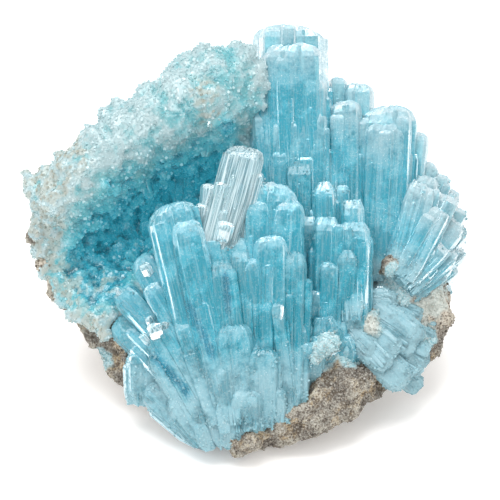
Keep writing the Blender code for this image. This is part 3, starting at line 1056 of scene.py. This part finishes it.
def grow_blade(blade, group, rng, look, step, ridge):
    """Adds one striated prism to a group's bmesh. step is the width of a stria, and
    ridge its height."""
    bm = bmesh.new()
    crest = bm.verts.layers.float.new("crest")
    strand = bm.verts.layers.int.new("strand")
    girth = 1.7 * (blade.width + blade.thickness)
    sides = max(6, min(64, 2 * round(girth / step / 2)))
    circle = bmesh.ops.create_circle(bm, cap_ends=True, segments=sides, radius=1)["verts"]
    outline = []
    for number, vert in enumerate(circle):
        vert[strand] = number
        angle = math.atan2(vert.co.y, vert.co.x) + rng.uniform(-0.3, 0.3) * math.tau / sides
        edge = tablet_edge(angle)
        x = math.cos(angle) * edge * blade.width
        y = math.sin(angle) * edge * blade.thickness
        outline.append((x, y))
    depths = [rng.uniform(-1, 0.6) for _ in outline]
    rise = min(look.rise * blade.width, 3.0) * rng.uniform(0.7, 1.15)
    shoulder = max(0.5 * blade.length, blade.length - rise)
    rise = blade.length - shoulder
    slant = rng.gauss(0, 0.16)
    tilt = rng.gauss(0, 0.2)
    steps = max(3, round(shoulder / 2.2))
    crown = rng.choice(look.crowns)
    # Levels from the foot to the tip: height, width and thickness
    levels = [(0.0, 0.6, 0.6)]
    levels += [(shoulder * (n + 1) / steps, 1.0, 1.0) for n in range(steps)]
    levels += [(shoulder + rise * up, across, ahead) for up, across, ahead in crown]
    top = list(bm.faces)
    for number, (height, across, ahead) in enumerate(levels):
        if number:
            top = bmesh.ops.extrude_discrete_faces(bm, faces=top)["faces"]
        crowned = height > shoulder
        for vert in top[0].verts:
            mine = vert[strand]
            if rng.random() < 0.3:
                depths[mine] = rng.uniform(-1, 0.6)
            x, y = outline[mine]
            out = 1 + depths[mine] * ridge * (0.3 if crowned else 1.0) / math.hypot(x, y)
            vert.co = Vector((x * across * out, y * ahead * out, height))
            vert[crest] = 0.0 if crowned else depths[mine]
            if crowned:
                vert.co.z += rng.uniform(-0.06, 0.06) * rise
                vert.co.z += min(0.0, slant * vert.co.x + tilt * vert.co.y)
    bmesh.ops.poke(bm, faces=top)
    bmesh.ops.holes_fill(bm, edges=bm.edges, sides=0)
    offset = Vector((rng.uniform(0, 90), rng.uniform(0, 90), rng.uniform(0, 90)))
    tone_blade(bm, blade, look, offset)
    bmesh.ops.recalc_face_normals(bm, faces=bm.faces)
    part = as_mesh("blade", bm)
    group.from_mesh(part)
    bpy.data.meshes.remove(part)


def plain_prisms(name, carriers, rows, look, out, striae, seed):
    """A mesh of short prisms, their feet sunk in the nodes that carry them. A row holds
    across and up in squares, lean to the right, and width and length in millimetres.
    out is how far they lean out."""
    front = faces_of(carriers)
    group = bmesh.new()
    rng = random.Random(seed)
    for across, up, lean, width, length in rows:
        hit = on_front(front, across, up)
        if hit is None:
            continue
        axis = (FACE_UP + Vector((lean, 0, 0)) + FACE_OUT * out).normalized()
        foot = hit - axis * (0.25 + 0.25 * out) * length * MM
        blade = Blade(foot, axis, length, width, 0.7 * width)
        grow_blade(blade, group, rng, look, *striae)
    return as_mesh(name, group)


def crystal_mesh(name, blades, look, seed):
    """A group of striated prisms, each with slimmer ones grown against it: one on each
    side, then partners and laths in front."""
    rng = random.Random(seed)
    group = bmesh.new()
    for blade in blades:
        grow_blade(blade, group, rng, look, *STRIAE)
        for side in (-1, 1):
            width = min(2.6, rng.uniform(0.4, 0.55) * blade.width)
            across = side * (0.52 * blade.width - 0.3 * width)
            drop = (0.1 + 0.3 * rng.random()) * blade.length
            ahead = -rng.uniform(0.1, 0.3) * blade.thickness
            thickness = 0.7 * blade.thickness
            partner = blade.beside(rng, across, ahead, width, thickness, drop, look.stray)
            grow_blade(partner, group, rng, look, *PARTNER_STRIAE)
        for _ in range(round(look.partners * blade.width + rng.uniform(-0.5, 0.5))):
            width = min(2.8, rng.uniform(0.3, 0.6) * blade.width)
            thickness = 0.7 * width
            across = rng.uniform(-0.38, 0.38) * blade.width
            ahead = 0.5 * blade.thickness - rng.uniform(0.3, 0.45) * thickness
            drop = 0.3 + rng.random() ** 1.5 * 0.45 * blade.length
            partner = blade.beside(rng, across, ahead, width, thickness, drop, look.stray)
            grow_blade(partner, group, rng, look, *PARTNER_STRIAE)
        for _ in range(round(look.laths * blade.width)):
            width = rng.uniform(0.35, 0.9)
            across = rng.uniform(-0.45, 0.45) * blade.width
            near_edge = abs(across) / blade.width > 0.33
            ahead = (0.33 if near_edge else 0.5) * blade.thickness - rng.uniform(0.2, 0.32) * width
            drop = 0.3 + rng.random() * 0.6 * blade.length
            lath = blade.beside(rng, across, ahead, width, 0.7 * width, drop, 0.5 * look.stray)
            grow_blade(lath, group, rng, look, *LATH_STRIAE)
    for vert in group.verts:
        vert.co.z = max(vert.co.z, 0.1 * MM)
    mesh = as_mesh(name, group)
    kinds = [small_grain(name + "_sugar", CRYSTAL_SUGAR, seed)]
    return scatter(mesh, kinds, SUGAR_SPACING, "sugar", SUGAR_SIZES, math.pi, seed)


def crystal_finish(look):
    """Clear teal with pale ends, striae that follow each prism, and frosted patches."""
    finish = Finish("Blue hemimorphite", IOR=look.ior, Specular_IOR_Level=SHEEN)
    own = finish.attribute("own", "Vector")
    tint, pale, deep, crest = finish.attributes("tint", "pale", "deep", "crest")
    place = finish.add("ShaderNodeTexCoord", output="Object")
    fine = finish.noise(finish.scaled(own, (3.4, 3.4, 0.22)), 1.0, 3.0, 0.6)
    broad = finish.noise(finish.scaled(own, (0.9, 0.9, 0.12)), 1.0, 2.0)
    cloud = finish.noise(place, 300.0, 4.0, 0.65)
    grain = finish.noise(place, 3600.0, 2.0)
    # Painted shade from deep and a little in the grooves of the striae; painted light on their
    # ridges
    shade = deep + 0.8 * (broad - 0.5) + 1.0 * (0.5 - fine) - 0.15 * crest
    paleness = pale + 0.9 * (cloud - 0.47) + 0.1 * crest + 0.4 * (grain - 0.5)
    dot = {"operation": "DOT_PRODUCT"}
    far = finish.add("ShaderNodeVectorMath", dot, [place, (1, 0, 1)], output="Value")
    tip = finish.blend(far.step(0.042, 0.054), opaque(look.tip), opaque(look.far_tip))
    glints = finish.noise(place, 5200.0, 1.0).step(0.68, 0.72) * cloud.step(0.45, 0.60)
    colour = finish.blend(shade.step(0.1, 1.0), opaque(look.body), opaque(look.deep))
    colour = finish.blend(paleness.step(0.0, 1.0) * 0.8, colour, tip)
    colour = finish.layered(
        colour,
        (
            (fine.step(0.48, 0.68) * 0.38, look.streak),
            (grain.step(0.54, 0.68) * 0.38, look.streak),
            (glints * 0.7, GLINTS),
            (tint.step(0.1, 0.8) * 0.5, SUGAR_TINT),
        ),
    )
    finish.set("Base Color", colour)
    frost = (cloud + 0.15 * pale).step(0.48, 0.64)
    finish.set("Roughness", look.roughness + 0.12 * fine.step(0.45, 0.7) + 0.25 * frost)
    finish.bump(fine + 0.7 * grain, 0.00016, 0.6)
    finish.glaze(look.glass, 0.5 - 0.25 * frost, 0.18, look.ior)
    return finish.material


SPRAY_LOOK = Look((BLUNT, ROUND, ROUND), 0.50, 5.0, 0.35, 0.12, 0.30, 1.2, 0.014, 0.1)
POINTS_LOOK = Look((POINTED, ROUND, CHISEL), 0.60, 4.0, 0.5, 0.05, 0.30, 1.2, 0.014, 0.25)
COLUMNS_LOOK = Look((ROUND,), 0.40, 11.0, 0.60, 0.14, 0.15, 1.8, 0.006)
FAN_LOOK = Look((CHISEL, ROUND, ROUND), 0.5, 9.0, 0.85, 0.22, 0.30, 2.4, 0.025, 0.2)
STUBS_LOOK = Look((ROUND, BLUNT), 0.60, 3.0, 1.0, 0.72, 0.25, 3.0, 0.035, 0.4)
GLASSY_LOOK = Look((BLUNT, CHISEL, FLAT), 0.4, 1.0)
HOLLOW_LOOK = Look((BLUNT, CHISEL, POINTED), 0.5, 1.5, 0.15)
CLEAR_LOOK = Look((BLUNT,), 0.3, 1.5, partners=0.3, laths=1.8, stray=0.006)
# How much longer than its solids the crystals of the fan's nearer rows are
FAN_MIDDLE_REACH = 1.15
FAN_FRONT_REACH = 1.45


class SPECIMEN_OT_blue_crystals(bpy.types.Operator):
    """Grow the sprays, columns and points of blue striated prisms"""

    bl_idname = "specimen.blue_crystals"
    bl_label = "Blue crystals"

    def execute(self, context):
        finish = crystal_finish(context.scene.specimen_crystal)
        fan = list(FAN_BACK)
        fan += [longer(row, FAN_MIDDLE_REACH) for row in FAN_MIDDLE]
        fan += [longer(row, FAN_FRONT_REACH) for row in FAN_FRONT]
        groups = (
            ("spray", "front_spray", FRONT_SPRAY, SPRAY_LOOK),
            ("points", "middle_points", MIDDLE_POINTS, POINTS_LOOK),
            ("columns", "rear_columns", REAR_COLUMNS, COLUMNS_LOOK),
            ("fan", "right_fan", fan, FAN_LOOK),
            ("blunt_group", "lower_right_crystals", LOWER_RIGHT, STUBS_LOOK),
        )
        for number, (name, node, rows, look) in enumerate(groups):
            mesh = crystal_mesh(name, [stand(row) for row in rows], look, 100 + number)
            new_piece(name, mesh, finish, node)
        return {"FINISHED"}


CLEAR_STRIAE = (0.26, 0.48, 0.54)
CLEAR_FACES = (0.62, 0.78, 0.82)
CLEAR_GLASS = (0.70, 0.87, 0.90)
# Short clear crystals that stand on the blue ones: across and up in squares, lean,
# width and length
GLASSY_PRISMS = (
    (-97, -20, -0.5, 2.0, 2.6), (-125, -42, -0.8, 1.1, 1.8), (-88, -80, -0.3, 2.6, 2.8),
    (-93, -72, -0.5, 1.6, 2.4), (-79, -76, 0.0, 1.2, 2.0), (-98, -88, -0.8, 1.4, 2.2),
    (-21, 16, 0.3, 2.6, 3.6), (34, -66, 0.1, 0.6, 4.4), (140, -14, 0.9, 1.0, 2.0),
)


def clear_finish(look):
    """Clear glass with pale striae along each prism."""
    finish = Finish("Clear hemimorphite", IOR=look.ior)
    own = finish.attribute("own", "Vector")
    fine = finish.noise(finish.scaled(own, (4.5, 4.5, 0.12)), 1.0, 2.0)
    streaks = fine.step(0.40, 0.60)
    finish.set("Base Color", finish.blend(streaks, opaque(CLEAR_STRIAE), opaque(CLEAR_FACES)))
    finish.set("Roughness", 0.05 + 0.15 * streaks)
    finish.bump(fine, 0.00012, 0.5)
    finish.glaze(CLEAR_GLASS, 0.7 - 0.3 * streaks, 0.04, look.ior)
    return finish.material


class SPECIMEN_OT_clear_crystals(bpy.types.Operator):
    """Grow the clear crystal that leans over the hollow, and its companions"""

    bl_idname = "specimen.clear_crystals"
    bl_label = "Clear crystals"

    def execute(self, context):
        blades = [stand(row) for row in CLEAR_CRYSTALS]
        mesh = crystal_mesh("clear_prisms", blades, CLEAR_LOOK, 7)
        finish = clear_finish(context.scene.specimen_crystal)
        new_piece("clear_prisms", mesh, finish, "clear_crystals")
        mesh = plain_prisms(
            "glassy_prisms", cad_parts, GLASSY_PRISMS, GLASSY_LOOK, 0.8, GLASSY_STRIAE, 9
        )
        new_piece("glassy_prisms", mesh, finish, None)
        return {"FINISHED"}


# Stage

FLOOR_REACH = 3.0
LIGHT_AIM = Vector((0, 0, 0.02))
KEY_PLACE = Vector((-0.08, 0.0, 0.75))
FRONT_PLACE = Vector((-0.3, -0.5, 0.45))
VIEW_CENTRE = Vector((0.0006, 0, FACE_HEIGHT * MM))
SENSOR = 36.0


def area_light(name, place, size, power):
    """A round soft light that shines on the specimen."""
    light = bpy.data.lights.new(name, "AREA")
    light.shape = "DISK"
    light.size = size
    light.energy = power
    lamp = add_object(name, light)
    lamp.location = place
    lamp.rotation_euler = (LIGHT_AIM - place).to_track_quat("-Z", "Y").to_euler()


class SPECIMEN_OT_stage(bpy.types.Operator):
    """Set out the floor, the lights and the camera"""

    bl_idname = "specimen.stage"
    bl_label = "Stage"

    def execute(self, context):
        scene = context.scene
        stage = scene.specimen_stage
        bm = bmesh.new()
        bmesh.ops.create_grid(bm, x_segments=1, y_segments=1, size=FLOOR_REACH)
        finish = Finish("Pale floor", Roughness=0.9, Emission_Strength=0.22)
        finish.set("Base Color", opaque(stage.floor))
        finish.set("Emission Color", opaque(stage.floor))
        floor = add_object("floor", as_mesh("floor", bm))
        floor.data.materials.append(finish.material)

        world = bpy.data.worlds.new("Soft sky")
        world.use_nodes = True
        sky = world.node_tree.nodes["Background"]
        sky.inputs["Color"].default_value = opaque((1.0, 1.0, 1.0))
        sky.inputs["Strength"].default_value = stage.fill
        scene.world = world
        area_light("key", KEY_PLACE, 0.6, stage.key)
        area_light("front", FRONT_PLACE, 0.3, stage.front)

        camera = add_object("camera", bpy.data.cameras.new("camera"))
        back = Vector((0, -math.cos(stage.elevation), math.sin(stage.elevation)))
        camera.location = VIEW_CENTRE + back * stage.distance
        camera.rotation_mode = "QUATERNION"
        camera.rotation_quaternion = (-back).to_track_quat("-Z", "Y")
        camera.data.sensor_width = SENSOR
        camera.data.lens = SENSOR * stage.distance / stage.view_width
        camera.data.clip_start = 0.01
        scene.camera = camera
        scene.view_settings.view_transform = "Standard"
        return {"FINISHED"}


class SPECIMEN_PT_panel(bpy.types.Panel):
    """Lists the specimen's pieces"""

    bl_idname = "SPECIMEN_PT_panel"
    bl_label = "Hemimorphite Specimen"
    bl_space_type = "VIEW_3D"
    bl_region_type = "UI"
    bl_category = "Specimen"

    def draw(self, context):
        for operator in OPERATORS:
            self.layout.operator(operator.bl_idname)


GROUPS = {
    "specimen_stage": SPECIMEN_PG_stage,
    "specimen_rock": SPECIMEN_PG_rock,
    "specimen_druse": SPECIMEN_PG_druse,
    "specimen_crystal": SPECIMEN_PG_crystal,
}
OPERATORS = (
    SPECIMEN_OT_stage,
    SPECIMEN_OT_matrix,
    SPECIMEN_OT_druse_crust,
    SPECIMEN_OT_blue_crystals,
    SPECIMEN_OT_clear_crystals,
)


def register():
    for name, group in GROUPS.items():
        bpy.utils.register_class(group)
        setattr(bpy.types.Scene, name, bpy.props.PointerProperty(type=group))
    for operator in OPERATORS:
        bpy.utils.register_class(operator)
    bpy.utils.register_class(SPECIMEN_PT_panel)


def unregister():
    bpy.utils.unregister_class(SPECIMEN_PT_panel)
    for operator in reversed(OPERATORS):
        bpy.utils.unregister_class(operator)
    for name, group in GROUPS.items():
        delattr(bpy.types.Scene, name)
        bpy.utils.unregister_class(group)


def main():
    register()
    for operator in OPERATORS:
        family, name = operator.bl_idname.split(".")
        getattr(getattr(bpy.ops, family), name)()


if __name__ == "__main__":
    main()
